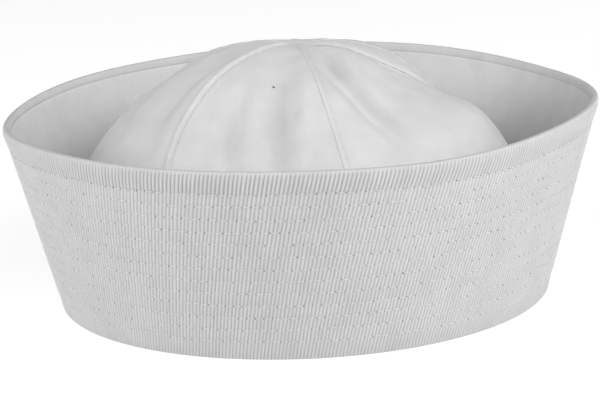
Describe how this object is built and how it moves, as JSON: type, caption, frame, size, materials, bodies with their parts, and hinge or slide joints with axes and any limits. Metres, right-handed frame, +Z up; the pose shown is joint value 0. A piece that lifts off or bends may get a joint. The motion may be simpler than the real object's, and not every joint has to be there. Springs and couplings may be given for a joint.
{
  "type": "sailor cap",
  "caption": "White cotton sailor cap: a soft domed crown of sewn gores inside a turned-up, flared brim stitched in rows.",
  "frame": {"origin": "middle of the cap on the surface it rests on, under the brim's lower fold", "axes": "+Z up, -Y towards the front of the cap, +X to the wearer's left"},
  "size_m": [0.2329, 0.2463, 0.1025],
  "materials": {
    "crown_twill": "white cotton twill, matt, fine diagonal weave",
    "brim_twill": "white ribbed cotton twill, matt, quilted with rows of white thread"
  },
  "bodies": {
    "root": {"crown_gore_1": "crown_twill", "crown_gore_2": "crown_twill", "crown_gore_3": "crown_twill", "crown_gore_4": "crown_twill", "crown_gore_5": "crown_twill", "crown_gore_6": "crown_twill", "brim": "brim_twill"}
  },
  "joints": []
}
